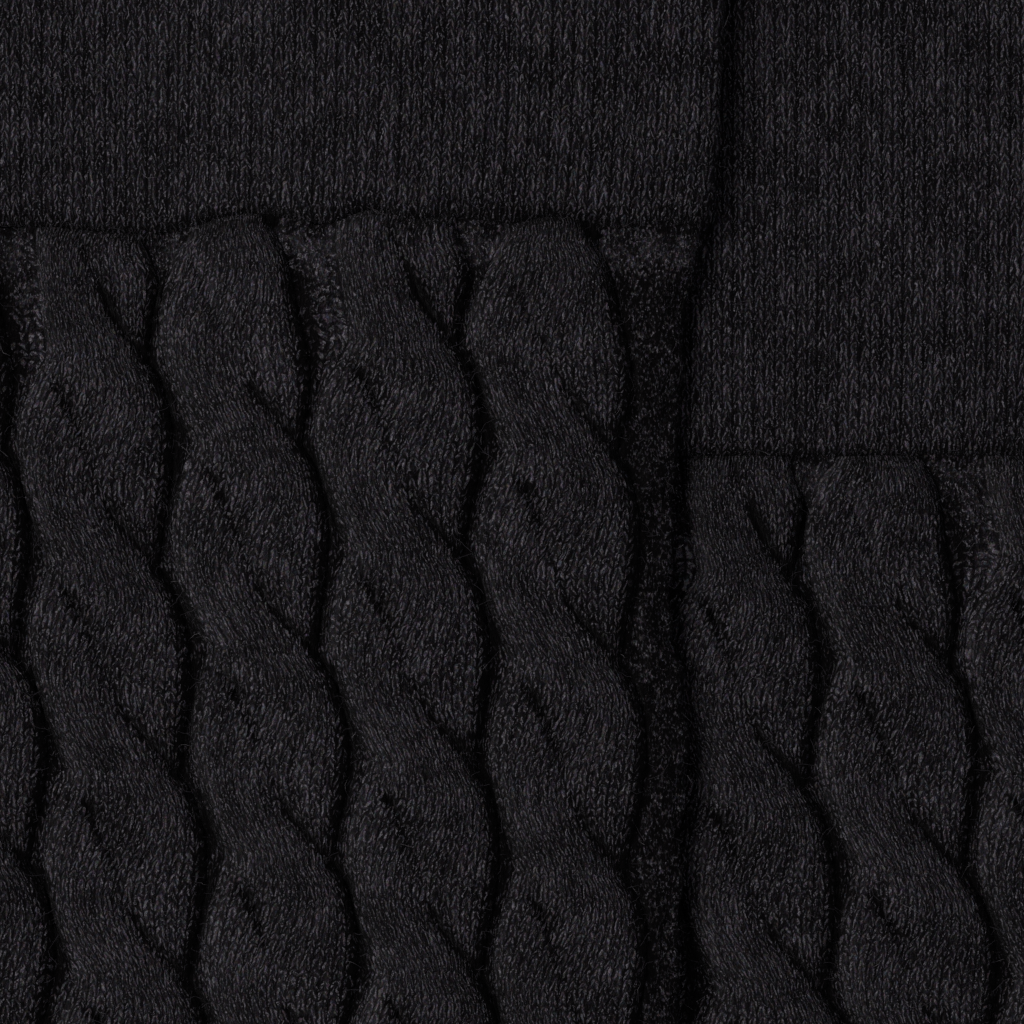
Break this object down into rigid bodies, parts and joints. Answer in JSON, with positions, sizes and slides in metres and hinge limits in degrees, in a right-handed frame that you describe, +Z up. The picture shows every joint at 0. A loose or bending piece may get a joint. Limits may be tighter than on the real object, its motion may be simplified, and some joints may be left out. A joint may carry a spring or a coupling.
{
  "type": "pair of mid-calf socks",
  "caption": "Charcoal cable-knit mid-calf socks with plain welt cuffs, laid flat with the left one partly over the right one.",
  "frame": {"origin": "middle of the pair's footprint, on the surface it lies on", "axes": "+X across the legs, away from the toes; +Y up the legs to the cuffs; +Z up from the surface"},
  "size_m": [0.2986, 0.2976, 0.0117],
  "materials": {
    "plain_knit": "matte charcoal stockinette, slightly fuzzy",
    "cable_knit": "matte charcoal rope-cable knit, slightly fuzzy"
  },
  "bodies": {
    "root": {"top_sock_cuff": "plain_knit", "top_sock_leg": "cable_knit", "top_sock_heel": "plain_knit", "top_sock_foot": "cable_knit", "top_sock_toe": "plain_knit", "under_sock_cuff": "plain_knit", "under_sock_leg": "cable_knit", "under_sock_heel": "plain_knit", "under_sock_foot": "cable_knit", "under_sock_toe": "plain_knit"}
  },
  "joints": []
}
